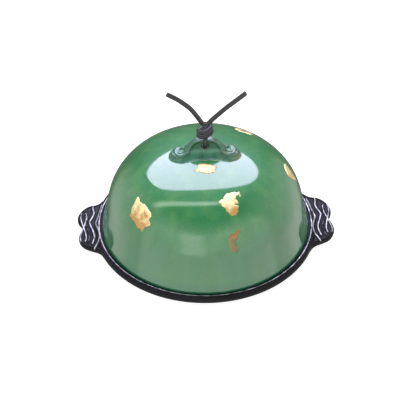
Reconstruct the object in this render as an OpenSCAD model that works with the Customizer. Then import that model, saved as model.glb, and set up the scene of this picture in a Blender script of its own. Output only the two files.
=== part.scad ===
// Individual grill pan of cast iron with a lacquered domed lid, a moulded lug on
// the lid and a knotted leather cord through the lug.
// The origin is the centre of the foot on the table, +X runs through the right
// handle, -Y is the front and +Z is up.

/* [Pan] */
// Outside radius of the rim
pan_r = 96; // [94:0.5:110]
// Height of the rim's crest above the table
pan_h = 24; // [22:0.5:30]
// Thickness of the floor and of the bowl's wall
pan_t = 4; // [3:0.5:5]
// Outside radius of the foot ring
foot_r = 66; // [50:1:70]
// Height of the foot ring
foot_h = 2; // [1.5:0.5:3]
// Drop of the rim's outer band below the crest
band_drop = 5.5; // [4:0.5:7]

/* [Handles] */
// Reach of a handle past the rim
handle_reach = 16; // [12:1:22]
// Half of the width across the two lobes of a handle
handle_half = 27.5; // [24:0.5:32]
// Thickness of the handle plate under its ridges
handle_t = 4.5; // [4:0.5:8]
// Height of the cast ridges on a handle
ridge_h = 1.2; // [0.8:0.2:2]
// Width of the cast ridges on a handle
ridge_w = 2; // [1.5:0.5:3]

/* [Lid] */
// Radius of the lid's lower edge
lid_r = 90.5; // [88:0.5:91]
// Height of the dome above its lower edge
lid_h = 78; // [76:0.5:80]
// Inward taper of the straight wall, in degrees
lid_taper = 13.5; // [12:0.5:15]
// Length of the straight wall
lid_wall = 32; // [30:0.5:33]
// Radius of the shoulder between the wall and the crown
lid_shoulder = 53.5; // [52:0.5:54]
// Thickness of the casting
lid_t = 3.5; // [2.5:0.5:4]

/* [Lug] */
// Half of the length of the lug
lug_half = 30; // [28:0.5:34]
// Height of the ridge above the lid's apex
lug_h = 15.5; // [15:0.5:18]
// Thickness of the ridge
lug_t = 5.4; // [5:0.2:5.6]
// Radius of the cord's hole
hole_r = 3.2; // [3:0.1:3.4]
// Height of the hole's centre above the lid's apex
hole_h = 9.6; // [9:0.2:10]

/* [Cord] */
// Diameter of the cord
cord_d = 4; // [3:0.5:4]
// Largest radius of the knot
knot_r = 7; // [6:0.5:8]

/* [Gold leaf] */
// Thickness of the leaf and its clear coat
leaf_t = 0.3; // [0.2:0.1:0.5]

/* [Hidden] */
$fn = 128;

// Pan: the seat for the lid lies below the crest, inside a short upright wall.
seat_z = pan_h - 2;
gap = 1.3;                      // between the lid's edge and the rim's inner wall
rim_in = lid_r + gap;
crest_w = 1.6;                  // flat top of the rim
band_z = pan_h - band_drop;     // lower edge of the rim's outer band
flank_r = 24;                   // radius of the bowl's rounded flank
flank_c = [68, 25.5];           // its centre in the profile

// Lid: the crown is the arc that is tangent to the shoulder and reaches lid_h.
sh = [lid_r - lid_shoulder * cos(lid_taper) - lid_wall * sin(lid_taper),
      lid_wall * cos(lid_taper) - lid_shoulder * sin(lid_taper)];
crown_r = (pow(lid_shoulder, 2) - pow(sh.x, 2) - pow(sh.y - lid_h, 2))
          / (2 * (sh.y - lid_h + lid_shoulder));
crown_z = lid_h - crown_r;
join_a = atan2(sh.y - crown_z, sh.x);   // direction in which shoulder and crown meet
apex_z = seat_z + lid_h;
hole_z = apex_z + hole_h;

// Handles: two wavy ridges, whose outward crests lie a little behind the middle.
wave_u = [3.5, 7.5];            // mean distance of each ridge from the rim
wave_y = 5;
wave_l = 33;

// Lug: an arched ridge between two round lobes.
lobe_r = 9.2;
lobe_top = 4;                   // top of a lobe above the apex
lobe_x = lug_half - 8.5;
pad_r = 13.5;                   // broad pad on which each lobe lies
pad_top = 4.2;                  // its top above the apex
pad_at = [17.5, 0.4];           // its middle
waist_r = 12;                   // the lower body between the lobes
waist_top = 2.9;                // its top above the apex
arch_half = 18.5;               // half of the arch's length
arch_base = 3.5;                // where the arch runs out, above the apex
flare_h = 8;                    // below this height the ridge spreads
flare_w = 3.5;                  // spread on each side at the apex's level
top_bevel = 1;                  // how far the ridge's top edges are worn back
eye_x = 19.6;                   // where the scroll's dimple lies
eye_r = 4.2;                    // its radius
eye_depth = 2;

// Cord: hand-laid routes. The loop goes through the hole and over the ridge.
knot_z = [118, 129];
loop_half = [[0, -3.8, 118], [0, -5, 116.2], [0, -5.4, 113.5], [0, -5.2, 111.8],
             [0, -3.6, 110]];
loop_route = concat(loop_half, [[0, 0, 109.3]], [for (i = [4:-1:0]) mirror_y(loop_half[i])]);
tail_left = [[-2.4, 0, 129], [-3.8, 0, 132], [-6.9, 0, 139], [-11.6, 0, 146],
             [-17, 0, 151.5], [-23, 0, 156.5], [-30.6, 0, 161.5]];
tail_right = [[2.4, 0, 129], [3.4, 0, 131], [6, 0, 134.5], [11.4, 0, 140],
              [18.5, 0, 147], [26, 0, 153.5], [33.2, 0, 160.1]];
cord_sides = 10;

// Gold leaf: where each flake's middle lies (turn about the axis, height on the
// profile as the angle of the surface's own arc) and its torn outline around it.
// An outline stays on one arc: the flake near the top ends where the arcs meet.
leaves = [
    [-90, 82.8, [[-10, -4], [-7, 2], [-5, 5], [1, 3], [9, 0], [7, -6]]],
    [-140, 38.6, [[-12, 3], [-12, 12], [-4, 9], [4, 8], [10, 5], [13, -2], [8, -11],
                  [0, -9], [-10, -6]]],
    [-68, 64.3, [[-12, 3], [-6, 3.4], [0, 3.6], [6, 3.4], [7, 1], [3, 0], [3, -4], [0, -10],
                 [-5, -13], [-8, -8]]],
    [-75, 30.4, [[6, 9], [4, 4], [0, -2], [2, -6], [1, -10], [-4, -9], [-5, -3], [-5, 4],
                 [-2, 6], [2, 6]]],
    [1, 39.3, [[8, 5], [4, 7], [-4, 5], [-8, 3], [-6, -3], [-2, -10], [1, -8], [5, 1]]],
    [95, 40, [[-9, 6], [0, 10], [8, 5], [5, -3], [9, -9], [-2, -7], [-7, -2]]],
    [140, 18, [[-5, 8], [4, 10], [9, 2], [5, -8], [-4, -10], [-8, -1]]],
    [50, 60, [[-8, 2], [-1, 6], [9, 3], [6, -3], [-2, -6], [-7, -4]]]];

function mirror_y(p) = [p.x, -p.y, p.z];
function unit(v) = v / norm(v);

// Direction of a route at point i.
function heading(route, i) =
    unit(route[min(i + 1, len(route) - 1)] - route[max(i - 1, 0)]);

// One ring of a tube. Its side axis stays along "side", which no route follows.
// An end ring lies level, so that it meets the knot's flat face.
function ring(p, dir, side, r, n) =
    let (u = unit(side - dir * (side * dir)), v = cross(dir, u))
    [for (k = [0:n - 1]) p + r * (cos(360 * k / n) * u + sin(360 * k / n) * v)];

// A tube of n sides swept along a route. "level" lists the points whose rings
// are horizontal.
module tube(route, side, d, n, level) {
    rings = len(route);
    points = [for (i = [0:rings - 1])
        let (dir = len(search(i, level)) > 0
                 ? [0, 0, sign(heading(route, i).z)] : heading(route, i))
        each ring(route[i], dir, side, d / 2, n)];
    walls = [for (i = [0:rings - 2], k = [0:n - 1])
        let (a = i * n + k, b = i * n + (k + 1) % n) [a, a + n, b + n, b]];
    first = [for (k = [0:n - 1]) k];
    last = [for (k = [n - 1:-1:0]) (rings - 1) * n + k];
    polyhedron(points, concat([first], walls, [last]), convexity = 6);
}

// A wedge from point c between two directions, wide enough to hold radius r.
module wedge(c, a0, a1, r) {
    polygon(concat([c], [for (a = [a0, (a0 + a1) / 2, a1]) c + 2 * r * [cos(a), sin(a)]]));
}

// Half profile of the dome, moved inwards by off: straight wall, shoulder, crown.
module dome_profile(off) {
    base = [lid_r - off / cos(lid_taper), 0];
    top = sh + (lid_shoulder - off) * [cos(lid_taper), sin(lid_taper)];
    polygon([[0, 0], base, top, sh, [0, sh.y]]);
    intersection() {
        translate(sh) circle(lid_shoulder - off);
        wedge(sh, lid_taper, join_a, lid_shoulder);
    }
    intersection() {
        translate([0, crown_z]) circle(crown_r - off);
        wedge([0, crown_z], join_a, 90, crown_r);
        translate([0, sh.y]) square([lid_r, lid_h]);
    }
}

module dome(off = 0) {
    translate([0, 0, seat_z]) rotate_extrude() dome_profile(off);
}

// Half profile of the pan's outside, filled to the axis.
module pan_outside() {
    translate([0, foot_h]) square([flank_c.x, pan_h - foot_h]);
    intersection() {
        translate(flank_c) circle(flank_r);
        translate([flank_c.x, foot_h]) square([flank_r, band_z - foot_h]);
    }
    polygon([[flank_c.x, band_z - 2], [pan_r - 5, band_z - 2], [pan_r, band_z],
             [pan_r, pan_h - 2.4], [rim_in + crest_w, pan_h], [flank_c.x, pan_h]]);
}

// The hollow: a rounded bowl, and the lid's seat above it.
module pan_inside() {
    floor_z = foot_h + pan_t;
    translate([0, floor_z]) square([flank_c.x, pan_h]);
    intersection() {
        translate(flank_c) circle(flank_r - pan_t);
        translate([flank_c.x, floor_z]) square([flank_r, seat_z - floor_z]);
    }
    translate([0, seat_z]) square([rim_in, pan_h]);
}

module pan_dish() {
    color([0.08, 0.08, 0.09])
    rotate_extrude() {
        difference() {
            pan_outside();
            pan_inside();
        }
        translate([foot_r - 6, 0]) square([6, foot_h]);
    }
}

// Outline of one handle on the +X side: two lobes with a notch between them.
module handle_outline() {
    tip = pan_r + handle_reach;
    corner = 10;
    nose = 7;
    for (s = [-1, 1])
        hull() {
            translate([tip - corner, s * (handle_half - corner)]) circle(corner);
            translate([tip - nose, s * (nose + 1)]) circle(nose);
            translate([pan_r - 8, s * 2]) square([1, 1]);
            translate([pan_r - 8, s * (handle_half + 6)]) square([1, 1]);
        }
    translate([pan_r - 8, -9]) square([handle_reach + 4.5, 18]);
}

// Where the n-th wavy ridge's line lies, at y along the handle.
function wave_x(y, n) =
    pan_r + wave_u[n] + 2 * cos(360 * (y - wave_y) / wave_l);

// A ridge that waves along the handle beside the rim.
module wavy_ridge(n) {
    half = handle_half - 4 - 4 * n;
    step = half / 8;
    polygon(concat(
        [for (k = [-8:8]) [wave_x(k * step, n) + ridge_w / 2, k * step]],
        [for (k = [8:-1:-8]) [wave_x(k * step, n) - ridge_w / 2, k * step]]));
}

module handle() {
    top = pan_h - 3;
    difference() {
        union() {
            translate([0, 0, top - handle_t]) linear_extrude(handle_t) handle_outline();
            translate([0, 0, top - 1]) linear_extrude(1 + ridge_h)
                for (n = [0, 1]) wavy_ridge(n);
            for (s = [-1, 1])
                translate([pan_r + handle_reach - 5.5, s * handle_half / 2, top - 1])
                    difference() {
                        cylinder(h = 1 + ridge_h, r = 4.2);
                        translate([0, 0, -1]) cylinder(h = 3 + ridge_h, r = 4.2 - ridge_w);
                    }
        }
        rotate_extrude() pan_outside();
    }
}

module pan_handle_left() {
    color([0.1, 0.1, 0.11]) mirror([1, 0, 0]) handle();
}

module pan_handle_right() {
    color([0.1, 0.1, 0.11]) handle();
}

module lid_shell() {
    color([0.3, 0.62, 0.42])
    difference() {
        dome();
        dome(lid_t);
    }
}

// Front view of the arch, from above the apex down into the dome.
module arch_front() {
    steps = 12;
    polygon(concat(
        [[-arch_half, -4]],
        [for (k = [-steps:steps])
            let (x = arch_half * k / steps)
            [x, arch_base + (lug_h - arch_base) * (1 - pow(abs(x) / arch_half, 2.4))]],
        [[arch_half, -4]]));
}

// Side view of the arch: upright faces that spread towards the dome.
module arch_side() {
    steps = 6;
    low = -3;
    face = [for (k = [0:steps])
        let (z = low + (flare_h - low) * k / steps)
        [lug_t / 2 + flare_w * pow(1 - max(z, 0) / flare_h, 2), z]];
    edge = [[lug_t / 2, lug_h - 2], [lug_t / 2 - top_bevel, lug_h]];
    right = concat(face, edge);
    polygon(concat(right, [for (k = [len(right) - 1:-1:0]) [-right[k].x, right[k].y]]));
}

module lid_lug() {
    color([0.17, 0.42, 0.32])
    difference() {
        translate([0, 0, apex_z]) {
            intersection() {
                rotate([90, 0, 0]) linear_extrude(24, center = true) arch_front();
                rotate([90, 0, 90]) linear_extrude(2 * lug_half, center = true) arch_side();
            }
            for (s = [-1, 1]) {
                translate([s * lobe_x, 0, lobe_top - lobe_r]) sphere(lobe_r);
                translate([s * pad_at.x, pad_at.y, pad_top - pad_r]) sphere(pad_r);
            }
            translate([0, 0, waist_top - waist_r]) rotate([0, 90, 0])
                cylinder(h = 2 * lobe_x, r = waist_r, center = true);
        }
        dome();
        translate([0, 0, hole_z]) rotate([90, 0, 0]) cylinder(h = 30, r = hole_r, center = true);
        for (s = [-1, 1])
            translate([s * eye_x, 0, apex_z + lobe_top + eye_r - eye_depth])
                sphere(eye_r);
    }
}

module cord_loop() {
    color([0.12, 0.12, 0.13])
    tube(loop_route, [1, 0, 0], cord_d, cord_sides, [0, len(loop_route) - 1]);
}

module cord_knot() {
    mid = (knot_z[0] + knot_z[1]) / 2;
    bulge = 11;
    color([0.14, 0.14, 0.15])
    rotate_extrude()
        intersection() {
            translate([knot_r - bulge, mid]) circle(bulge);
            translate([0, knot_z[0]]) square([knot_r + 1, knot_z[1] - knot_z[0]]);
        }
}

module cord_tail_left() {
    color([0.12, 0.12, 0.13]) tube(tail_left, [0, 1, 0], cord_d, cord_sides, [0]);
}

module cord_tail_right() {
    color([0.12, 0.12, 0.13]) tube(tail_right, [0, 1, 0], cord_d, cord_sides, [0]);
}

// A torn flake of leaf: the part of a thin skin on the dome inside an outline
// that is pushed along the surface's own direction.
module gold_leaf(n) {
    turn = leaves[n - 1][0];
    rise = leaves[n - 1][1];
    spot = rise > join_a
        ? [0, crown_z] + crown_r * [cos(rise), sin(rise)]
        : sh + lid_shoulder * [cos(rise), sin(rise)];
    color([0.83, 0.65, 0.3])
    intersection() {
        translate([0, 0, seat_z]) rotate_extrude() difference() {
            dome_profile(-leaf_t);
            dome_profile(0);
        }
        rotate([0, 0, turn]) translate([spot.x, 0, seat_z + spot.y])
            rotate([0, 90 - rise, 0]) rotate([0, 0, 90])
                linear_extrude(12, center = true) polygon(leaves[n - 1][2]);
    }
}

pan_dish();
pan_handle_left();
pan_handle_right();
lid_shell();
lid_lug();
cord_loop();
cord_knot();
cord_tail_left();
cord_tail_right();
for (n = [1:8])
    gold_leaf(n);
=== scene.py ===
"""A small cast iron grill pan with a green lacquered dome lid. A moulded lug stands
on the lid, a black leather cord is knotted through it, and flakes of gold leaf lie
under the clear coat. Shapes are worked out in millimetres and built in metres."""
import math

import bmesh
import bpy
import numpy as np
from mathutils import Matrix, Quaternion, Vector
from mathutils.geometry import delaunay_2d_cdt


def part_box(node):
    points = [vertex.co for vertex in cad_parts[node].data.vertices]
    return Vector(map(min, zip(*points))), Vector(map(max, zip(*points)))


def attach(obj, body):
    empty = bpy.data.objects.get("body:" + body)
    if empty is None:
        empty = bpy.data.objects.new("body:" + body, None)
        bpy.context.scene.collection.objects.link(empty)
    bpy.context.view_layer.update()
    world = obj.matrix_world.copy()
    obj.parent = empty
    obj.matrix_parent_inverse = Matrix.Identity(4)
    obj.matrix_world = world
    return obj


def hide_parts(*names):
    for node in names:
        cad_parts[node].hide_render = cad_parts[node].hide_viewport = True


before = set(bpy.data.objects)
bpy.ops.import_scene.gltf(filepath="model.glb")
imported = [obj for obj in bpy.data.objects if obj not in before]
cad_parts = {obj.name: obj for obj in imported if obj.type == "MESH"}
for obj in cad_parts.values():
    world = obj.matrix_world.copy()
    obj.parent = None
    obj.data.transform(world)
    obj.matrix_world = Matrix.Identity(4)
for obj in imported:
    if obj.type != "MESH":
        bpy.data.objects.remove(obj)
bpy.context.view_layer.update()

MM = 0.001
CELL = 0.42         # the grid that cast skins are made on, in millimetres
SIDES = 288         # how many sides a turned piece has
TENT_R = 3.0        # the radius of the cloth tent round the scene, in metres


def box_mm(node):
    """The lowest and highest corners of a CAD part, in millimetres."""
    low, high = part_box(node)
    return np.array(low) / MM, np.array(high) / MM


PAN_HIGH = box_mm("pan_dish")[1]
LID_LOW, LID_HIGH = box_mm("lid_shell")
RIM_R = PAN_HIGH[0]
CREST = PAN_HIGH[2]
LID_R = LID_HIGH[0]
SEAT = LID_LOW[2]
APEX = LID_HIGH[2]


# ---------------------------------------------------------------- shader sums

class Signal:
    """One value in a finish's net of nodes. Sums on it add Math nodes."""

    def __init__(self, net, socket):
        self.net = net
        self.socket = socket

    def reckon(self, operation, *values):
        """Adds a Math node."""
        return self.net.node("ShaderNodeMath", {"operation": operation},
                             dict(enumerate(values)))

    def __add__(self, other):
        return self.reckon("ADD", self, other)

    def __sub__(self, other):
        return self.reckon("SUBTRACT", self, other)

    def __rsub__(self, other):
        return self.reckon("SUBTRACT", other, self)

    def __mul__(self, other):
        return self.reckon("MULTIPLY", self, other)

    def size(self):
        return self.reckon("ABSOLUTE", self)

    def larger(self, other):
        return self.reckon("MAXIMUM", self, other)

    __radd__ = __add__
    __rmul__ = __mul__

    def ramp(self, low, high, start=0.0, end=1.0):
        """Spreads low..high over start..end and holds it there."""
        return self.net.node("ShaderNodeMapRange", {"clamp": True},
                             {0: self, 1: low, 2: high, 3: start, 4: end})


class Net:
    """The net of nodes of one finish."""

    def __init__(self, tree):
        self.tree = tree
        self.tree.nodes.clear()

    def node(self, kind, settings=None, values=None, out=0):
        """Adds one node: its settings first, then its sockets' values or links."""
        made = self.tree.nodes.new(kind)
        for key, value in (settings or {}).items():
            setattr(made, key, value)
        for key, value in (values or {}).items():
            if isinstance(value, Signal):
                self.tree.links.new(value.socket, made.inputs[key])
            else:
                made.inputs[key].default_value = value
        return Signal(self, made.outputs[out]) if made.outputs else None

    def place(self):
        """The place on the piece, in metres."""
        return self.node("ShaderNodeTexCoord", out=3)

    def part_of_place(self):
        """The three numbers of the place."""
        split = self.node("ShaderNodeSeparateXYZ", values={0: self.place()})
        return [Signal(self, socket) for socket in split.socket.node.outputs]

    def cloud(self, size_mm, detail=3.0, rough=0.5, warp=0.0, stretch=(1, 1, 1)):
        """Soft noise about 0.5 with lumps of about that size."""
        spot = self.node("ShaderNodeVectorMath", {"operation": "MULTIPLY"},
                         {0: self.place(), 1: stretch})
        return self.node("ShaderNodeTexNoise", {}, {
            "Vector": spot, "Scale": 1 / (size_mm * MM), "Detail": detail,
            "Roughness": rough, "Distortion": warp})

    def cells(self, size_mm):
        """Distance to the nearest of scattered points of about that spacing."""
        return self.node("ShaderNodeTexVoronoi", {"feature": "F1"},
                         {"Vector": self.place(), "Scale": 1 / (size_mm * MM)})

    def mark(self, name):
        """A number that the maker of the mesh left on its points."""
        return self.node("ShaderNodeAttribute", {"attribute_name": name}, out=2)

    def tint(self, share, first, second):
        """Mixes two colours by share."""
        return self.node("ShaderNodeMix", {"data_type": "RGBA", "blend_type": "MIX"},
                         {0: share, 6: first, 7: second}, out=2)

    def dents(self, height, deep_mm, strength):
        """The normal of a surface with that height on it."""
        return self.node("ShaderNodeBump", {}, {
            "Height": height, "Distance": deep_mm * MM, "Strength": strength})

    def surface(self, **sockets):
        """Ends the net with a Principled shader. Names use _ for a space."""
        values = {name.replace("_", " "): value for name, value in sockets.items()}
        shader = self.node("ShaderNodeBsdfPrincipled", {}, values)
        self.node("ShaderNodeOutputMaterial", {}, {"Surface": shader})


def colour(red, green, blue):
    """A screen colour of 0 to 255 a channel, as the light that it stands for."""
    def light(c):
        c /= 255
        return c / 12.92 if c <= 0.04045 else ((c + 0.055) / 1.055) ** 2.4
    return (light(red), light(green), light(blue), 1.0)


def new_finish(name):
    """An empty finish and its net of nodes."""
    finish = bpy.data.materials.new(name)
    finish.use_nodes = True
    return finish, Net(finish.node_tree)


# ------------------------------------------------------------------- finishes

def seasoned_iron():
    """Black cast iron: sand grain, dull and glossy areas, crests of worn silver with a
    painted highlight.
    """
    finish, net = new_finish("seasoned_iron")
    patches = net.cloud(9, detail=4)
    sand = net.cloud(0.55, detail=2, rough=0.6)
    pits = net.cells(1.3).ramp(0.05, 0.4)
    # The crests' light silver is partly real worn metal and partly a painted highlight.
    rub_and_highlight = (net.mark("wear_and_highlight") + (net.cloud(4.5, detail=4) - 0.5) * 0.9).ramp(0.6, 1.0)
    black = net.tint(patches.ramp(0.35, 0.7), colour(9, 8, 10), colour(24, 23, 28))
    dusty = net.tint((1 - pits) * 0.22, black, colour(48, 47, 54))
    skin = net.tint(rub_and_highlight, dusty, colour(176, 178, 184))
    dull = patches.ramp(0.3, 0.7, 0.42, 0.6)
    height = sand * 0.7 + pits * 0.3
    net.surface(
        Base_Color=skin,
        Roughness=dull - rub_and_highlight * 0.1,
        Metallic=rub_and_highlight * 0.45,
        Specular_IOR_Level=0.1,
        Normal=net.dents(height, 0.09, 0.7))
    return finish


def green_lacquer():
    """Pearl green lacquer under a clear coat: crown darker, wall lighter in part as painted
    reflection, sheen streaks painted on, darker and bluer low down, a painted shadow at the
    foot.
    """
    finish, net = new_finish("green_lacquer")
    height = net.part_of_place()[2]
    # The wall's colour is lighter than the crown's, in part as painted reflection of the
    # bright table.
    low = height.ramp(0.023, 0.075)
    mottle = net.cloud(26, detail=3).ramp(0.3, 0.7)
    pearl = net.cells(0.9).ramp(0.1, 0.7)
    wall = net.tint(mottle, colour(58, 145, 84), colour(64, 150, 98))
    crown = net.tint(mottle, colour(30, 122, 62), colour(36, 128, 70))
    base = net.tint(low, wall, crown)
    # Painted reflection: soft lighter streaks up the wall, like the studio's sheen.
    sheen_streaks = net.cloud(13, detail=2, stretch=(1, 1, 0.3)).ramp(0.46, 0.72)
    streaked = net.tint(sheen_streaks * 0.4, base, colour(96, 158, 84))
    flecked = net.tint(pearl * 0.12, streaked, colour(120, 180, 140))
    # Darker and bluer towards the foot.
    darker_near_foot = net.tint(height.ramp(0.023, 0.034, 0.6, 0.0), flecked, colour(24, 112, 88))
    # Painted shadow: the lid's foot goes almost black where it meets the pan's rim.
    edge = height.ramp(0.0226, 0.0256, 0.97, 0.0)
    skin = net.tint(edge, darker_near_foot, colour(2, 22, 17))
    grain = net.cloud(0.75, detail=2, rough=0.55)
    orange_peel = net.cloud(3.2, detail=1)
    net.surface(
        Base_Color=skin,
        Roughness=mottle * 0.08 + 0.42,
        Specular_IOR_Level=0.15,
        Coat_Weight=1.0,
        Coat_Roughness=0.07,
        Coat_IOR=1.5,
        Normal=net.dents(grain * 0.6 + orange_peel * 0.8, 0.035, 0.6))
    return finish


def lug_lacquer():
    """The lid's lacquer made darker and bluer on the lug as painted shade, and lighter along
    its folds as worn lacquer and painted highlight.
    """
    finish, net = new_finish("lug_lacquer")
    mottle = net.cloud(6, detail=4).ramp(0.3, 0.7)
    # The folds' lighter colour is partly worn lacquer and partly a painted highlight.
    rub_and_highlight = (net.mark("wear_and_highlight") + (net.cloud(2.4, detail=4) - 0.5) * 0.8).ramp(0.45, 0.95)
    # Painted shade: the lug's colour is a darker copy of the lid's lacquer.
    painted_dark_green = net.tint(mottle, colour(24, 82, 64), colour(56, 120, 92))
    side = net.part_of_place()[0].ramp(0.004, 0.03)
    bronze = net.tint(side * net.cloud(7).ramp(0.42, 0.62), painted_dark_green, colour(112, 116, 78))
    specks = net.cells(1.5).ramp(0.0, 0.22, 1.0, 0.0)
    crazed = net.tint(specks * 0.6, bronze, colour(14, 46, 36))
    skin = net.tint(rub_and_highlight * 0.8, crazed, colour(126, 172, 144))
    # Painted shade in the lug's hole and in the creases beside its folds.
    shaded = net.tint(net.mark("hollow"), skin, colour(6, 12, 11))
    grain = net.cloud(0.9, detail=3, rough=0.6)
    net.surface(
        Base_Color=shaded,
        Roughness=mottle * 0.15 + 0.38,
        Metallic=0.1,
        Coat_Weight=0.32,
        Coat_Roughness=0.14,
        Normal=net.dents(grain * 0.6 + specks * -0.4, 0.16, 0.9))
    return finish


def black_leather():
    """Round leather cord: satin black, fine creases along it, dusty high spots, painted shade
    where it goes into the hole.
    """
    finish, net = new_finish("black_leather")
    crease = net.cloud(0.8, detail=3, rough=0.6, stretch=(1, 1, 0.35))
    pores = net.cells(0.45).ramp(0.1, 0.5)
    tone = net.cloud(5, detail=2).ramp(0.35, 0.65)
    black = net.tint(tone, colour(20, 19, 22), colour(34, 33, 38))
    worn = net.tint((1 - pores) * 0.3, black, colour(24, 23, 25))
    # Painted shade: the cord goes almost black low down, where it enters the lug's hole.
    hole_shade = net.part_of_place()[2].ramp(0.1105, 0.1175, 0.9, 0.0)
    skin = net.tint(hole_shade, worn, colour(5, 5, 6))
    net.surface(
        Base_Color=skin,
        Roughness=crease.ramp(0.3, 0.7, 0.4, 0.54),
        Specular_IOR_Level=0.36,
        Normal=net.dents(crease * 0.7 + pores * 0.3, 0.02, 0.5))
    return finish


def gold_leaf(name, pale, warm, lean, fall):
    """A flake of metal leaf, from pale gold to copper where the lacquer covers it."""
    finish, net = new_finish(name)
    drop = net.mark("drop") * fall
    cover = (net.cloud(6, detail=4, rough=0.6) + drop + lean).ramp(0.36, 0.64)
    worn = net.cloud(1.1, detail=3, rough=0.7).ramp(0.55, 0.75)
    metal = net.tint(cover, pale, warm)
    skin = net.tint(worn * 0.3, metal, colour(150, 120, 66))
    wrinkle = net.cloud(1.8, detail=4, rough=0.65, warp=0.6)
    net.surface(
        Base_Color=skin,
        Roughness=wrinkle.ramp(0.3, 0.7, 0.34, 0.55),
        Metallic=0.4 - worn * 0.15,
        Coat_Weight=0.15,
        Coat_Roughness=0.12,
        Normal=net.dents(wrinkle, 0.12, 0.8))
    return finish


def table_white():
    """A pale table top that is lit from within, like a light table."""
    finish, net = new_finish("table_white")
    tone = net.cloud(140, detail=2).ramp(0.3, 0.7)
    net.surface(
        Base_Color=net.tint(tone, colour(190, 190, 190), colour(196, 196, 197)),
        Roughness=0.8,
        Emission_Color=(1.0, 1.0, 1.0, 1.0),
        Emission_Strength=0.9)
    return finish


def tent_glow():
    """What gloss mirrors of the studio: bright cloth at the sides and low in front."""
    finish, net = new_finish("tent_glow")
    x, y, z = net.part_of_place()
    reach = 1 / TENT_R
    sides = (x.size() * reach).ramp(0.5, 0.85, 0.0, 0.62)
    front = (y * -reach).ramp(-0.05, 0.35) * (z * reach).ramp(0.5, 0.85, 1.0, 0.0)
    pane = (x * reach + 0.28).size().ramp(0.14, 0.26, 0.7, 0.0)
    front = front * (pane * (z * reach - 0.25).size().ramp(0.25, 0.36, 1.0, 0.0) + 1)
    bar = (y * reach).size().ramp(0.02, 0.1, 2.4, 0.0) * (z * reach).ramp(0.6, 0.8)
    glow = sides.larger(front).larger(bar * (x * reach).ramp(0.1, 0.3, 1.0, 0.0))
    cloth = net.tint(net.cloud(900, detail=1).ramp(0.3, 0.7), (2.2, 2.2, 2.1, 1.0),
                     (2.6, 2.6, 2.5, 1.0))
    net.surface(
        Base_Color=(0.0, 0.0, 0.0, 1.0),
        Roughness=1.0,
        Specular_IOR_Level=0.0,
        Emission_Color=net.node("ShaderNodeVectorMath", {"operation": "SCALE"},
                                {0: cloth, "Scale": glow + 0.07}),
        Emission_Strength=1.0)
    return finish


# -------------------------------------------------------------- making a mesh

def leave_mark(mesh, name, values):
    """Leaves a number on each point of a mesh, for its finish to read."""
    mark = mesh.attributes.new(name, "FLOAT", "POINT")
    mark.data.foreach_set("value", np.asarray(values, np.float32))


def make_piece(name, points, faces, finishes, body, wear_and_highlight=None, inner=None):
    """A piece from points in millimetres, which rides on a body."""
    mesh = bpy.data.meshes.new(name)
    mesh.from_pydata((np.asarray(points) * MM).tolist(), [], faces)
    if wear_and_highlight is not None:
        leave_mark(mesh, "wear_and_highlight", wear_and_highlight)
    for finish in finishes:
        mesh.materials.append(finish)
    if inner is not None:
        mesh.polygons.foreach_set("material_index", np.asarray(inner, np.int32))
    shell = bmesh.new()
    shell.from_mesh(mesh)
    bmesh.ops.recalc_face_normals(shell, faces=shell.faces)
    shell.to_mesh(mesh)
    shell.free()
    mesh.shade_smooth()
    piece = bpy.data.objects.new(name, mesh)
    bpy.context.scene.collection.objects.link(piece)
    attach(piece, body)
    return piece


def spline(knots, step, closed=False):
    """Points about a step apart on a smooth curve through the knots."""
    knots = np.asarray(knots, float)
    if closed:
        guide = np.vstack([knots[-1:], knots, knots[:2]])
    else:
        guide = np.vstack([2 * knots[0] - knots[1], knots, 2 * knots[-1] - knots[-2]])
    line = []
    for a, b, c, d in zip(guide, guide[1:], guide[2:], guide[3:]):
        count = max(1, round(np.linalg.norm(c - b) / step))
        for t in np.arange(count) / count:
            line.append(0.5 * (2 * b + (c - a) * t + (2 * a - 5 * b + 4 * c - d) * t ** 2
                               + (3 * b - a - 3 * c + d) * t ** 3))
    if not closed:
        line.append(knots[-1])
    return np.array(line)


def soften(corners, steps=6):
    """Rounds the corners [r, z, radius] of an open outline."""
    spots = np.array([corner[:2] for corner in corners], float)
    line = [spots[0]]
    for before, (r, z, radius), after in zip(spots, corners[1:-1], spots[2:]):
        here = np.array([r, z], float)
        if radius == 0:
            line.append(here)
            continue
        back, on = before - here, after - here
        start = here + back * min(0.45, radius / np.linalg.norm(back))
        end = here + on * min(0.45, radius / np.linalg.norm(on))
        for t in np.arange(steps + 1) / steps:
            line.append((1 - t) ** 2 * start + 2 * t * (1 - t) * here + t ** 2 * end)
    line.append(spots[-1])
    return np.array(line)


def lathe(outline, sides):
    """Turns an outline [r, z] that starts and ends on the axis."""
    turn = np.arange(sides) * 2 * math.pi / sides
    rings = [np.stack([r * np.cos(turn), r * np.sin(turn), np.full(sides, z)], 1)
             for r, z in outline[1:-1]]
    points = np.vstack(rings + [[[0, 0, outline[0][1]]], [[0, 0, outline[-1][1]]]])
    first, last = len(points) - 2, len(points) - 1
    faces = []
    for ring in range(len(rings) - 1):
        for k in range(sides):
            a, b = ring * sides + k, ring * sides + (k + 1) % sides
            faces.append((a, b, b + sides, a + sides))
    top = (len(rings) - 1) * sides
    for k in range(sides):
        faces.append((first, (k + 1) % sides, k))
        faces.append((last, top + k, top + (k + 1) % sides))
    return points, faces


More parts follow.
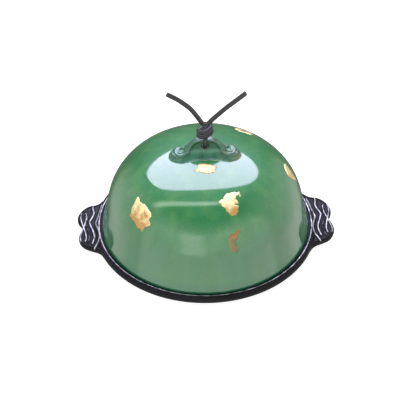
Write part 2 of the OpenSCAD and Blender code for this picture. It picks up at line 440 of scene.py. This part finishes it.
def sweep(path, radius, sides=20):
    """A round cord along a path, with softly cut ends."""
    heading = np.gradient(path, axis=0)
    heading /= np.linalg.norm(heading, axis=1)[:, None]
    side = np.cross(heading[0], [0.3, 0.2, 1.0])
    around = np.arange(sides) * 2 * math.pi / sides
    cut = 0.45
    rings = []
    for i, (spot, ahead) in enumerate(zip(path, heading)):
        side = side - ahead * (side @ ahead)
        side /= np.linalg.norm(side)
        other = np.cross(ahead, side)
        circle = np.outer(np.cos(around), side) + np.outer(np.sin(around), other)
        if i == 0:
            rings.append(spot + circle * (radius - cut))
            rings.append(spot + ahead * 0.12 + circle * (radius - 0.12))
        elif i == len(path) - 1:
            rings.append(spot - ahead * 0.12 + circle * (radius - 0.12))
            rings.append(spot + circle * (radius - cut))
        else:
            rings.append(spot + circle * radius)
    points = np.vstack(rings)
    faces = [tuple(range(sides))[::-1],
             tuple(range(len(points) - sides, len(points)))]
    for ring in range(len(rings) - 1):
        for k in range(sides):
            a, b = ring * sides + k, ring * sides + (k + 1) % sides
            faces.append((a, b, b + sides, a + sides))
    return points, faces


def flip_quads(quads, flips):
    """Turns round the quads that are marked to flip."""
    return np.where(flips[:, None], quads[:, ::-1], quads)


def cast(field, low, high, cell=CELL):
    """The skin of the solid where field(x, y, z) is below zero, as even quads.

    The box from low to high has to hold the whole solid, or its skin is left open.
    """
    low = np.asarray(low, float)
    axes = [np.arange(a, b + cell, cell) for a, b in zip(low, high)]
    value = field(*np.meshgrid(*axes, indexing="ij", sparse=True))
    shape = np.array(value.shape)
    total = np.zeros((*(shape - 1), 3))
    count = np.zeros(shape - 1)
    edges = []
    for axis in range(3):
        b, c = [k for k in range(3) if k != axis]
        near = np.take(value, range(shape[axis] - 1), axis)
        far = np.take(value, range(1, shape[axis]), axis)
        crossing = (near < 0) != (far < 0)
        share = np.where(crossing, near / np.where(crossing, near - far, 1), 0)
        edges.append((axis, b, c, crossing, near < 0))
        for db in (0, 1):
            for dc in (0, 1):
                part = [slice(None)] * 3
                part[b] = slice(db, shape[b] - 1 + db)
                part[c] = slice(dc, shape[c] - 1 + dc)
                hit = crossing[tuple(part)]
                count += hit
                total[..., axis] += share[tuple(part)]
                total[..., b] += hit * db
                total[..., c] += hit * dc
    used = count > 0
    number = np.full(shape - 1, -1)
    number[used] = np.arange(used.sum())
    points = low + cell * (np.argwhere(used) + total[used] / count[used][:, None])
    quads = []
    for axis, b, c, crossing, solid in edges:
        part = [slice(None)] * 3
        part[b] = part[c] = slice(1, -1)
        where = np.argwhere(crossing[tuple(part)])
        shift = np.zeros(3, int)
        shift[b] = shift[c] = 1
        where = where + shift
        to_b, to_c = np.eye(3, dtype=int)[b], np.eye(3, dtype=int)[c]
        ring = [where - to_b - to_c, where - to_c, where, where - to_b]
        quad = np.stack([number[tuple(spot.T)] for spot in ring], 1)
        outward = solid[tuple(where.T)] != (axis == 1)
        quads.append(flip_quads(quad, ~outward))
    return true_up(points, np.vstack(quads), field, cell)


def true_up(points, quads, field, cell, rounds=3):
    """Evens out a cast skin and puts each point back on the field's zero."""
    pairs = np.vstack([quads[:, [k, (k + 1) % 4]] for k in range(4)])
    for _ in range(rounds):
        total = np.zeros_like(points)
        count = np.zeros(len(points))
        for a, b in (pairs.T, pairs.T[::-1]):
            np.add.at(total, a, points[b])
            np.add.at(count, a, 1)
        points = points * 0.4 + 0.6 * total / count[:, None]
        here = field(*points.T)
        step = cell * 0.2
        slope = np.stack([(field(*(points + step * axis).T) - here) / step
                          for axis in np.eye(3)], 1)
        size = np.maximum((slope ** 2).sum(1), 0.15)
        move = slope * (here / size)[:, None]
        points = points - np.clip(move, -cell, cell)
    return points, [tuple(quad) for quad in quads.tolist()]


def melt(a, b, soft):
    """The union of two fields with a soft fillet."""
    share = np.clip(0.5 + 0.5 * (b - a) / soft, 0, 1)
    return b + (a - b) * share - soft * share * (1 - share)


def trim(a, b, soft):
    """What two fields share, with a rounded edge."""
    return -melt(-a, -b, soft)


def to_line(x, y, line):
    """Distance in plan to a line of points [x, y]."""
    best = np.full(np.broadcast(x, y).shape, 1e9)
    for (ax, ay), (bx, by) in zip(line, line[1:]):
        dx, dy = bx - ax, by - ay
        t = np.clip(((x - ax) * dx + (y - ay) * dy) / (dx * dx + dy * dy), 0, 1)
        best = np.minimum(best, (x - ax - t * dx) ** 2 + (y - ay - t * dy) ** 2)
    return np.sqrt(best)


def in_outline(x, y, outline):
    """Distance in plan to a closed outline, negative inside it."""
    ring = np.vstack([outline, outline[:1]])
    inside = np.zeros(np.broadcast(x, y).shape, bool)
    for (ax, ay), (bx, by) in zip(ring, ring[1:]):
        if ay != by:
            spans = (ay > y) != (by > y)
            inside ^= spans & (x < (bx - ax) * (y - ay) / (by - ay) + ax)
    away = to_line(x, y, ring)
    return np.where(inside, -away, away)


def to_wire(x, y, z, wire):
    """Distance to a line of points [x, y, z]."""
    best = np.full(np.broadcast(x, y, z).shape, 1e9)
    for a, b in zip(wire, wire[1:]):
        d = b - a
        t = ((x - a[0]) * d[0] + (y - a[1]) * d[1] + (z - a[2]) * d[2]) / (d @ d)
        t = np.clip(t, 0, 1)
        best = np.minimum(best, (x - a[0] - t * d[0]) ** 2 + (y - a[1] - t * d[1]) ** 2
                          + (z - a[2] - t * d[2]) ** 2)
    return np.sqrt(best)


# ------------------------------------------------------------------ the camera

def set_camera():
    """A long lens in front, looking down at the pan."""
    rise, turn, lean = np.radians([41.5, -3.0, -0.4])
    back = Vector((math.sin(turn) * math.cos(rise), -math.cos(turn) * math.cos(rise),
                   math.sin(rise)))
    right = Vector((math.cos(turn), math.sin(turn), 0))
    up = back.cross(right)
    rim = Vector((0, 0, CREST * MM))
    spot = rim + back * 1.17
    aim = rim + up * 0.0183 - right * 0.0045
    lens = bpy.data.cameras.new("camera")
    lens.sensor_width = 36
    lens.lens = 120.7
    lens.clip_start, lens.clip_end = 0.05, 50
    camera = bpy.data.objects.new("camera", lens)
    camera.location = spot
    camera.rotation_mode = "QUATERNION"
    level = (aim - spot).to_track_quat("-Z", "Y")
    camera.rotation_quaternion = level @ Quaternion((0, 0, 1), lean)
    bpy.context.scene.collection.objects.link(camera)
    bpy.context.scene.camera = camera


# ------------------------------------------------------------------- the cords

CORD_D = 4.0
PATH_STEP = 0.6
TO_KNOT = [[0, -3.6, 110], [0, -5.2, 111.8], [0, -5.4, 113.5]]
TAIL_LEFT = [[-6.9, 0, 139], [-11.6, 0, 146], [-17, 0, 151.5], [-23, 0, 156.5],
             [-30.6, 0, 161.5]]
TAIL_RIGHT = [[3.2, 0, 131], [6, 0, 134.5], [11.4, 0, 140], [18.5, 0, 147],
              [26, 0, 153.5], [33.2, 0, 160.1]]
EXIT = [0, 0, 109.3]


def cord_through():
    """The strand that goes up the front, through the knot and out to the right."""
    core = [[0.1, -5.1, 115.8], [0.2, -3.9, 118.0], [0.3, -1.5, 120.4], [0.5, -0.3, 123.2],
            [0.9, -0.3, 125.8], [1.8, 0.4, 128.4]]
    return spline([EXIT] + TO_KNOT + core + TAIL_RIGHT, PATH_STEP)


def cord_round():
    """The strand that goes up the back, twice round the other and out to the left."""
    up_back = [[x, -y, z] for x, y, z in TO_KNOT]
    lead = [[-0.2, 5.3, 115.4], [-1.1, 5.1, 117.2]]
    turns = []
    for turn in np.arange(125, 740, 22.5):
        angle = math.radians(turn)
        tight = 1 - 0.16 * max(0, turn - 450) / 360
        x = 5.3 * tight * math.cos(angle)
        turns.append([x, 4.6 * tight * math.sin(angle),
                      119.0 + 4.1 * (turn - 90) / 360 + 0.2 * x])
    out = [[4.1, 1.9, 127.1], [2.6, 3.2, 127.3], [0.5, 3.2, 127.6], [-1.4, 1.9, 129.0],
           [-3.1, 0.7, 132.0]]
    return spline([EXIT] + up_back + lead + turns + out + TAIL_LEFT, PATH_STEP)


def make_cord(name, path, replaced):
    """One strand of the cord, which is left out of mirror reflections."""
    points, faces = sweep(path, CORD_D / 2)
    piece = make_piece(name, points, faces, [black_leather()], "cord")
    piece.visible_glossy = False
    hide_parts(*replaced)


# --------------------------------------------------------------------- the pan

def pan_outline():
    """Half outline of the pan, from under its floor, round the rim, to the floor."""
    flank = [[68 + 24 * math.cos(a), 25.5 + 24 * math.sin(a), 0]
             for a in np.radians(np.arange(-76, -21, 6))]
    bowl = [[68 + 20 * math.cos(a), 25.5 + 20 * math.sin(a), 0]
            for a in np.radians(np.arange(-16, -77, -6))]
    return soften([
        [0, 2, 0], [59.2, 2, 1.4], [60.2, 0, 0.8], [65.6, 0, 1.0], [66.6, 2.3, 2]]
        + flank + [
        [91.0, 16.6, 1.6], [RIM_R, 18.4, 1.1], [RIM_R, 21.4, 1.4],
        [93.5, CREST, 0.8], [91.8, CREST, 0.5], [91.8, SEAT, 0.7], [88.4, SEAT, 0.9]]
        + bowl + [[70.5, 6, 3], [0, 6, 0]])


def make_pan():
    """The dish and its rim, with worn silver and a painted highlight along the rim's inner
    crest.
    """
    points, faces = lathe(pan_outline(), SIDES)
    r = np.hypot(points[:, 0], points[:, 1])
    # A thin line of worn silver and painted highlight on the rim's inner crest.
    wear_and_highlight = np.exp(-((r - 92.5) / 0.6) ** 2) * (points[:, 2] > CREST - 0.2)
    piece = make_piece("pan", points, faces, [iron], "pan", wear_and_highlight)
    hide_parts("pan_dish")


# Plan of the handles: u is the distance outside the rim and y runs along it.
EDGE_RIGHT = [[-6.6, 36], [-3.2, 32.6], [0.2, 30.5], [4.6, 29.6], [9.2, 26.8],
              [13.2, 21.6], [15.6, 15.2], [15.4, 8.4], [13.6, 3.4], [12.9, 1.0],
              [13.8, -2.0], [15.4, -8], [15.6, -14.2], [13.4, -20], [10.2, -24.6],
              [5.0, -27.8], [-1.6, -30.8], [-5.4, -34], [-8.4, -38],
              [-12, -38], [-8, -20], [-6, 0], [-8, 20], [-11, 36]]
EDGE_LEFT = [[-6.6, 36], [-3.2, 32.6], [0.2, 30.5], [4.6, 29.6], [9.2, 26.8],
             [13.2, 21.6], [15.6, 15.2], [14.9, 8.4], [12.2, 3.4], [10.8, 0.8],
             [12.0, -2.2], [13.7, -8], [14.0, -13.6], [12.4, -19], [9.2, -23.2],
             [4.0, -26.4], [-1.6, -29.0], [-5.2, -32], [-8.4, -37],
             [-12, -37], [-8, -20], [-6, 0], [-8, 20], [-11, 36]]
RIM_WAVE = [[-4.6, 26], [-3.0, 19], [-1.6, 12], [0.0, 6.5], [0.6, 3], [-0.6, -2.5],
            [-2.2, -8], [-2.9, -13], [-2.4, -18], [-0.4, -23], [1.8, -28.6]]
MID_WAVE = [[3.0, 27.4], [3.2, 24], [2.3, 18.8], [3.4, 13.5], [5.4, 8.5], [5.9, 5.5],
            [4.6, 0], [2.6, -6], [1.6, -12], [2.2, -17], [3.2, -21.5]]
OUT_WAVE = [[7.6, 13.6], [8.7, 9], [9.2, 4], [7.6, -2], [6.2, -8], [6.0, -14],
            [7.2, -19.5], [9.6, -22.6]]
# Each strand of relief: its line, its height and half its width.
STRANDS = [(RIM_WAVE, 1.55, 1.0), (MID_WAVE, 1.5, 1.05), (OUT_WAVE, 1.0, 1.0)]
SCROLL_HIGH = 1.45
SCROLL_HALF = 0.9
PLATE_THICK = 4.3
HANDLE_LOW = (80, -46, 12)
HANDLE_HIGH = (114, 46, 26)


def scroll_lines(shift):
    """The two strands that cross between the lobes, as an open figure of eight."""
    lines = []
    for start in (-68, 112):
        turn = np.radians(np.arange(start, start + 137, 4))
        lines.append(np.stack([11.2 + shift + 2.5 * np.sin(2 * turn),
                               19.4 * np.sin(turn)], 1))
    return lines


def handle_field(outline, shift):
    """A handle on the right: a plate with cast strands, moved out by the shift."""
    edge = spline(outline, 1.5, closed=True) + [RIM_R, 0]
    strands = [(spline(line, 1.2) + [shift, 0], high, half)
               for line, high, half in STRANDS]
    strands += [(line, SCROLL_HIGH, SCROLL_HALF) for line in scroll_lines(shift)]
    plate = CREST - 3.1

    def relief(x, y):
        top = 0
        for line, high, half in strands:
            ridge = high * np.exp(-(to_line(x - RIM_R, y, line) / half) ** 2)
            top = np.maximum(top, ridge)
        return top

    def field(x, y, z):
        r = np.hypot(x, y)
        ledge = np.clip(CREST - 0.25 - (r - 93.5) * 1.04, plate, CREST)
        roll = in_outline(x, y, edge)
        rolled = 0.9 * np.exp(-((roll + 1.7) / 0.9) ** 2) * (r > RIM_R)
        top = z - ledge - np.maximum(relief(x, y), rolled)
        solid = trim(trim(roll, top, 1.5), plate - PLATE_THICK - z, 2.0)
        return trim(solid, 93.0 - r, 0.5)

    return field, relief


def make_handles():
    """Both handles; the left one is made on the right and turned over."""
    for name, side, outline, shift in (("handle_right", 1, EDGE_RIGHT, 0),
                                       ("handle_left", -1, EDGE_LEFT, -1.1)):
        field, relief = handle_field(outline, shift)
        points, faces = cast(field, HANDLE_LOW, HANDLE_HIGH)
        # The tops of the cast strands are lighter: worn silver and painted highlight.
        height = relief(points[:, 0], points[:, 1]) / 1.5
        wear_and_highlight = height * (points[:, 2] > CREST - 3)
        piece = make_piece(name, points * [side, 1, 1], faces, [iron], "pan",
                           wear_and_highlight)
        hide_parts("pan_" + name)


# --------------------------------------------------------------------- the lid

LID_THICK = 3.5
TAPER = math.radians(13.5)
WALL = 32.0
SHOULDER = 53.5
SHOULDER_C = np.array([LID_R - SHOULDER * math.cos(TAPER) - WALL * math.sin(TAPER),
                       SEAT + WALL * math.cos(TAPER) - SHOULDER * math.sin(TAPER)])
RISE = SHOULDER_C[1] - APEX
CROWN = (SHOULDER ** 2 - SHOULDER_C[0] ** 2 - RISE ** 2) / (2 * (RISE + SHOULDER))
CROWN_C = np.array([0, APEX - CROWN])
JOIN = math.atan2(SHOULDER_C[1] - CROWN_C[1], SHOULDER_C[0])


def dome_line(inward):
    """Half outline of the dome from its apex to its edge, moved inward."""
    def arc(centre, radius, start, end, count):
        return [centre + (radius - inward) * np.array([math.cos(a), math.sin(a)])
                for a in np.linspace(start, end, count)]

    crown = arc(CROWN_C, CROWN, math.pi / 2, JOIN, 10)[:-1]
    shoulder = arc(SHOULDER_C, SHOULDER, JOIN, TAPER, 26)
    foot = np.array([LID_R - inward / math.cos(TAPER), SEAT])
    wall = [shoulder[-1] + (foot - shoulder[-1]) * share
            for share in np.linspace(0, 1, 13)[1:]]
    return crown + shoulder + wall


def on_dome(spots, lift):
    """Puts spots near the dome on it, lifted by that much."""
    r = np.hypot(spots[:, 0], spots[:, 1])
    flat = np.stack([r, spots[:, 2]], 1)
    crown = np.arctan2(flat[:, 1] - CROWN_C[1], flat[:, 0]) > JOIN
    centre = np.where(crown[:, None], CROWN_C, SHOULDER_C)
    size = np.where(crown, CROWN, SHOULDER) + lift
    away = flat - centre
    low = ~crown & (np.arctan2(away[:, 1], away[:, 0]) < TAPER)
    normal = np.array([math.cos(TAPER), math.sin(TAPER)])
    away /= np.linalg.norm(away, axis=1)[:, None]
    round_part = centre + away * size[:, None]
    wall_part = flat - ((flat - SHOULDER_C) @ normal - SHOULDER - lift)[:, None] * normal
    flat = np.where(low[:, None], wall_part, round_part)
    scale = flat[:, 0] / r
    return np.stack([spots[:, 0] * scale, spots[:, 1] * scale, flat[:, 1]], 1)


def make_lid():
    """The domed shell, lacquered outside and bare iron under it."""
    outside = [[r, z, 0] for r, z in dome_line(0)]
    inside = [[r, z, 0] for r, z in dome_line(LID_THICK)][::-1]
    outside[-1][2] = 0.9
    inside[0][2] = 1.1
    outline = soften(outside + inside)
    points, faces = lathe(outline, SIDES)
    lip = int(np.argmin(outline[:, 1]))
    under = [min(face) >= (lip + 3) * SIDES for face in faces]
    piece = make_piece("lid", points, faces, [green_lacquer(), iron], "lid",
                       inner=under)
    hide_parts("lid_shell")


# --------------------------------------------------------------------- the lug

# Heights are over the dome's apex, and X and Y are places of a round form's middle.
ARCH_HALF = 18.5
ARCH_BASE = 3.5
ARCH_H = 15.5
HOLE_Z = 9.6
HOLE_R = 2.95
LOBE_X = 20.4
LOBE_R = 9.0
LOBE_TOP = 4.0
WAIST_R = 12.0
WAIST_TOP = 2.9
PAD_X = 16.8
PAD_Y = 1.3
PAD_R = 13.0
PAD_TOP = 4.2
EYE_X = 19.6
EYE_R = 3.3
FOLD_R = 0.75
LUG_ROOT = 2.6      # how deep the lug's foot goes into the dome's wall
FRONT_FOLD = [[3.2, -2.2], [6.5, -2.2], [10, -2.3], [13.4, -3.0], [16.2, -4.4],
              [19.3, -5.6], [22.6, -5.0], [24.6, -2.4], [24.7, 1.0], [23.0, 3.6], [20.4, 4.3],
              [18.2, 3.0], [17.3, 0.8]]
BACK_FOLD = [[3.2, 2.2], [7, 2.4], [11, 3.0], [15, 4.6], [18.6, 6.8], [22.4, 7.2],
             [25.2, 5.8], [26.8, 3.2], [27.3, 0.0], [26.2, -3.2], [23.8, -5.6]]


def lug_body(x, y, z):
    """The lug without its folds, with z measured from the dome's apex."""
    wide = np.abs(x)
    arch_top = ARCH_BASE + (ARCH_H - ARCH_BASE) * (1 - (wide / ARCH_HALF) ** 2.4)
    flare = 2.7 + 3.5 * np.clip(1 - np.maximum(z, 0) / 8, 0, 1) ** 2
    slope = 1 + np.minimum(wide / 11, 1.3) ** 2
    arch = trim(np.abs(y) - flare, (z - arch_top) / slope, 1.4)
    lobe = np.sqrt((wide - LOBE_X) ** 2 + y ** 2 + (z - LOBE_TOP + LOBE_R) ** 2) - LOBE_R
    waist = np.sqrt(y ** 2 + (z - WAIST_TOP + WAIST_R) ** 2) - WAIST_R
    waist = trim(waist, wide - LOBE_X, 2)
    pad = np.sqrt((wide - PAD_X) ** 2 + (y - PAD_Y) ** 2
                  + (z - PAD_TOP + PAD_R) ** 2) - PAD_R
    return melt(melt(melt(pad, lobe, 2.0), waist, 2.2), arch, 2.6)


def top_of(field, plan):
    """Where the field's top lies over each point of a plan."""
    heights = np.arange(20, -10, -0.1)
    value = field(plan[:, 0][:, None], plan[:, 1][:, None], heights[None, :])
    return heights[np.argmax(value < 0, axis=1)]


def lug_field():
    """The whole lug as a field, and the lines of its folds."""
    folds = []
    for line in (FRONT_FOLD, BACK_FOLD):
        plan = spline(line, 1.2)
        folds.append(np.column_stack([plan, top_of(lug_body, plan) - 0.25]))

    def field(x, y, z):
        z = z - APEX
        wide = np.abs(x)
        solid = lug_body(x, y, z)
        for wire in folds:
            solid = melt(solid, to_wire(wide, y, z, wire) - FOLD_R, 0.7)
        seam = 0.35 * np.exp(-((x + 0.6) / 0.6) ** 2) * (np.abs(y) > 2)
        solid = solid - seam
        eye = np.sqrt((wide - EYE_X) ** 2 + (y / 0.9) ** 2
                      + (z - LOBE_TOP - 1.9) ** 2) - EYE_R
        solid = trim(solid, -eye, 1.2)
        ball = np.sqrt(x ** 2 + y ** 2 + (z + CROWN) ** 2) - CROWN
        solid = trim(melt(solid, ball + 0.12, 1.8), solid - 3, 0.3)
        solid = trim(solid, -ball - LUG_ROOT, 0.3)
        hole = np.sqrt(x ** 2 + (z - HOLE_Z) ** 2) - HOLE_R
        return trim(solid, -hole, 0.5)

    return field, folds


def make_lug():
    """The lug: worn and given a painted highlight along its folds, with painted shade beside
    them and in its hole.
    """
    field, folds = lug_field()
    low, high = [-37, -20, APEX - 15], [37, 21, APEX + 17]
    points, faces = cast(field, low, high)
    wide = np.abs(points[:, 0])
    away = np.min([to_wire(wide, points[:, 1], points[:, 2] - APEX, wire)
                   for wire in folds], axis=0)
    wear_and_highlight = np.clip(1.6 - away / FOLD_R, 0, 1) ** 2
    # Painted shade in the crease beside each fold.
    crease = 0.6 * np.exp(-((away - 1.75) / 0.5) ** 2)
    piece = make_piece("lug", points, faces, [lug_lacquer()], "lid", wear_and_highlight)
    # Painted shade in and round the hole.
    from_hole = np.hypot(points[:, 0], points[:, 2] - APEX - HOLE_Z)
    leave_mark(piece.data, "hollow", np.maximum(
        np.clip((HOLE_R + 1.1 - from_hole) / 0.8, 0, 1), crease))
    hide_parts("lid_lug")


# ------------------------------------------------------------------ gold leaf

# Each flake: its turn round the axis, its rise on the dome, and its torn outline.
FLAKES = [
    (-90, 82.8, [[-10, -4], [-7, 2], [-5, 5], [1, 3], [9, 0], [7, -6]]),
    (-140, 38.6, [[-12, 3], [-12, 12], [-4, 9], [4, 8], [10, 5], [13, -2], [8, -11],
                [0, -9], [-10, -6]]),
    (-68, 64.3, [[-12, 3], [-6.6, 5.2], [-1.3, 8.0], [2.6, 8.0], [4.9, 7.8], [6.2, 6.3],
                 [8.5, 6.6], [8.1, 2.6], [6.5, 2.2], [6.5, 4.4], [4.1, 3.8], [2.2, 1.3],
                 [3.6, -0.4], [3.4, -3.3], [-0.1, -2.5], [-0.6, -3.2], [2.9, -5.2],
                 [0.2, -10.4], [-3.6, -11.9], [-6.2, -11.7], [-7.6, -8.1], [-8.6, -3.8],
                 [-10.5, -1.4]]),
    (-75, 30.4, [[6, 9], [4, 4], [0, -2], [2, -6], [1, -10], [-4, -9], [-5, -3], [-5, 4],
               [-2, 6], [2, 6]]),
    (1, 39.3, [[8, 5], [4, 7], [-4, 5], [-8, 3], [-6, -3], [-2, -10], [1, -8], [5, 1]]),
    (95, 40, [[-9, 6], [0, 10], [8, 5], [5, -3], [9, -9], [-2, -7], [-7, -2]]),
    (140, 18, [[-5, 8], [4, 10], [9, 2], [5, -8], [-4, -10], [-8, -1]]),
    (50, 60, [[-8, 2], [-1, 6], [9, 3], [6, -3], [-2, -6], [-7, -4]])]
DULL_GOLD = colour(190, 174, 120)
DEEP_GOLD = colour(200, 152, 92)
CREAM_GOLD = colour(232, 216, 158)
PALE_GOLD = colour(246, 230, 174)
WARM_GOLD = colour(224, 176, 102)
ORANGE_GOLD = colour(186, 142, 82)
COPPER = colour(140, 100, 58)
VEILED = colour(98, 98, 58)
# Each flake's two tones, how far it leans to the second, and how much more low down.
TONES = [(DULL_GOLD, DEEP_GOLD, 0.0, 0.0),
         (PALE_GOLD, ORANGE_GOLD, 0.04, 0.26),
         (CREAM_GOLD, ORANGE_GOLD, -0.1, 0.32),
         (COPPER, VEILED, 0.02, 0.1),
         (PALE_GOLD, WARM_GOLD, 0.0, 0.1),
         (PALE_GOLD, WARM_GOLD, 0.0, 0.1),
         (WARM_GOLD, COPPER, 0.0, 0.1),
         (PALE_GOLD, COPPER, 0.0, 0.1)]
LEAF_PROUD = 0.16   # how far a flake stands out of the dome, in millimetres
LEAF_SUNK = 0.2
LEAF_GRID = 0.7


def torn(outline, chance, rough=0.13, shortest=0.5):
    """Breaks an outline's sides into a ragged, torn edge."""
    ring = [np.array(spot, float) for spot in outline]
    while True:
        longest = max(np.linalg.norm(b - a) for a, b in zip(ring, ring[1:] + ring[:1]))
        if longest < shortest:
            return np.array(ring)
        finer = []
        for a, b in zip(ring, ring[1:] + ring[:1]):
            finer.append(a)
            side = b - a
            size = np.linalg.norm(side)
            if size >= shortest:
                across = np.array([-side[1], side[0]])
                finer.append((a + b) / 2 + across * chance.normal(0, rough))
        ring = finer


def make_leaf(number, turn, rise, outline, tones):
    """A closed flake that lies on the dome, with its underside sunk in the lacquer."""
    chance = np.random.default_rng(40 + number)
    edge = torn(outline, chance)
    low, high = edge.min(0), edge.max(0)
    grid = np.stack(np.meshgrid(np.arange(low[0], high[0], LEAF_GRID),
                                np.arange(low[1], high[1], LEAF_GRID)),
                    -1).reshape(-1, 2)
    grid += chance.uniform(-0.15, 0.15, grid.shape)
    inner = grid[in_outline(grid[:, 0], grid[:, 1], edge) < -0.35]
    flat = [Vector(spot) for spot in np.vstack([edge, inner])]
    sides = [(k, (k + 1) % len(edge)) for k in range(len(edge))]
    laid = delaunay_2d_cdt(flat, sides, [list(range(len(edge)))], 1, 1e-5)
    plan = np.array([list(spot) for spot in laid[0]])
    faces = [tuple(face) for face in laid[2]]
    angle, lean = math.radians(turn), math.radians(rise)
    if lean > JOIN:
        spot = CROWN_C + CROWN * np.array([math.cos(lean), math.sin(lean)])
    else:
        spot = SHOULDER_C + SHOULDER * np.array([math.cos(lean), math.sin(lean)])
    out = np.array([math.cos(angle), math.sin(angle), 0])
    along = np.array([-math.sin(angle), math.cos(angle), 0])
    up = -math.sin(lean) * out + [0, 0, math.cos(lean)]
    middle = spot[0] * out + [0, 0, spot[1]]
    spots = middle + plan[:, :1] * along + plan[:, 1:] * up
    crinkle = 0.05 * np.sin(plan @ [1.9, 1.1]) * np.sin(plan @ [-0.8, 2.3])
    top = on_dome(spots, LEAF_PROUD)
    rim_share = np.clip(-in_outline(plan[:, 0], plan[:, 1], edge) / 0.5, 0, 1)
    top += (on_dome(spots, LEAF_PROUD + 1) - top) * (crinkle * rim_share)[:, None]
    under = on_dome(spots, -LEAF_SUNK)
    count = len(spots)
    links = {}
    for face in faces:
        for a, b in zip(face, face[1:] + face[:1]):
            links[(a, b)] = (b, a) in links
            if (b, a) in links:
                links[(b, a)] = True
    walls = [(a, a + count, b + count, b)
             for (a, b), shared in links.items() if not shared]
    below = [tuple(k + count for k in face[::-1]) for face in faces]
    piece = make_piece(f"gold_leaf_{number}_flake", np.vstack([top, under]),
                       faces + below + walls, [gold_leaf(f"gold_leaf_{number}", *tones)],
                       "lid")
    leave_mark(piece.data, "drop", np.tile(plan[:, 1] * -0.1, 2))
    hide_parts(f"gold_leaf_{number}")


# ------------------------------------------------------------- floor and light

def set_aside(name, points, faces, finish, seen):
    """Part of the studio that shows only to the kinds of light in seen."""
    mesh = bpy.data.meshes.new(name)
    mesh.from_pydata(points, [], faces)
    mesh.materials.append(finish)
    item = bpy.data.objects.new(name, mesh)
    for kind in ("camera", "diffuse", "glossy", "transmission", "shadow"):
        setattr(item, "visible_" + kind, kind in seen)
    bpy.context.scene.collection.objects.link(item)


def make_table():
    """The table top, just under the foot ring."""
    corners = [(x, y, -0.0003) for x, y in ((-6, -6), (6, -6), (6, 6), (-6, 6))]
    set_aside("table", corners, [(0, 1, 2, 3)], table_white(),
              ("camera", "shadow"))


def make_tent():
    """A globe of cloth round everything, for the gloss to mirror."""
    sides = 48
    outline = [[TENT_R * math.cos(a), TENT_R * math.sin(a)]
               for a in np.linspace(-math.pi / 2, math.pi / 2, 25)[1:-1]]
    points = [(r * math.cos(turn), r * math.sin(turn), z) for r, z in outline
              for turn in np.linspace(0, 2 * math.pi, sides, endpoint=False)]
    faces = [(row * sides + k, row * sides + (k + 1) % sides,
              (row + 1) * sides + (k + 1) % sides, (row + 1) * sides + k)
             for row in range(len(outline) - 1) for k in range(sides)]
    faces += [tuple(range(sides)), tuple(range(len(points) - sides, len(points)))]
    set_aside("tent", points, faces, tent_glow(), ("glossy",))


def soft_light(name, rise, turn, away, size, power, tone=(1, 1, 1), gloss=True, fill=True):
    """A soft box that faces the pan, at a rise and a turn from straight behind."""
    lamp = bpy.data.lights.new(name, "AREA")
    lamp.shape = "ELLIPSE"
    lamp.size, lamp.size_y = size
    lamp.energy = power
    lamp.color = tone
    box = bpy.data.objects.new(name, lamp)
    rise, turn = math.radians(rise), math.radians(turn)
    middle = Vector((0, 0, 0.08))
    out = Vector((math.sin(turn) * math.cos(rise), math.cos(turn) * math.cos(rise),
                  math.sin(rise)))
    box.location = middle + out * away
    box.rotation_mode = "QUATERNION"
    box.rotation_quaternion = (-out).to_track_quat("-Z", "Y")
    box.visible_camera = False
    box.visible_glossy = gloss
    box.visible_diffuse = fill
    bpy.context.scene.collection.objects.link(box)


def light_studio():
    """White surroundings that only the camera sees, the table, tent and lamps."""
    world = bpy.data.worlds.new("studio")
    world.use_nodes = True
    net = Net(world.node_tree)
    air = net.node("ShaderNodeBackground", {}, {"Color": (1, 1, 1, 1), "Strength": 0.96})
    net.node("ShaderNodeOutputWorld", {}, {"Surface": air})
    bpy.context.scene.world = world
    for kind in ("diffuse", "glossy", "transmission", "scatter"):
        setattr(world.cycles_visibility, kind, False)
    bpy.context.scene.view_settings.view_transform = "Standard"
    make_table()
    make_tent()
    soft_light("soft_box", 52, 0, 1.2, (1.5, 1.08), 52, (0.76, 0.72, 1.0), fill=False)
    soft_light("front_fill", 46, 195, 1.6, (1.6, 1.6), 14, gloss=False)
    soft_light("top_fill", 80, 0, 1.6, (1.6, 1.6), 20, gloss=False)
    soft_light("back_fill", 30, 20, 1.8, (1.4, 1.4), 7, gloss=False)


set_camera()
make_cord("cord_right_strand", cord_through(), ["cord_loop", "cord_tail_right"])
make_cord("cord_left_strand", cord_round(), ["cord_knot", "cord_tail_left"])
iron = seasoned_iron()
make_pan()
make_handles()
make_lid()
make_lug()
for number, (flake, tones) in enumerate(zip(FLAKES, TONES), 1):
    make_leaf(number, *flake, tones)
light_studio()
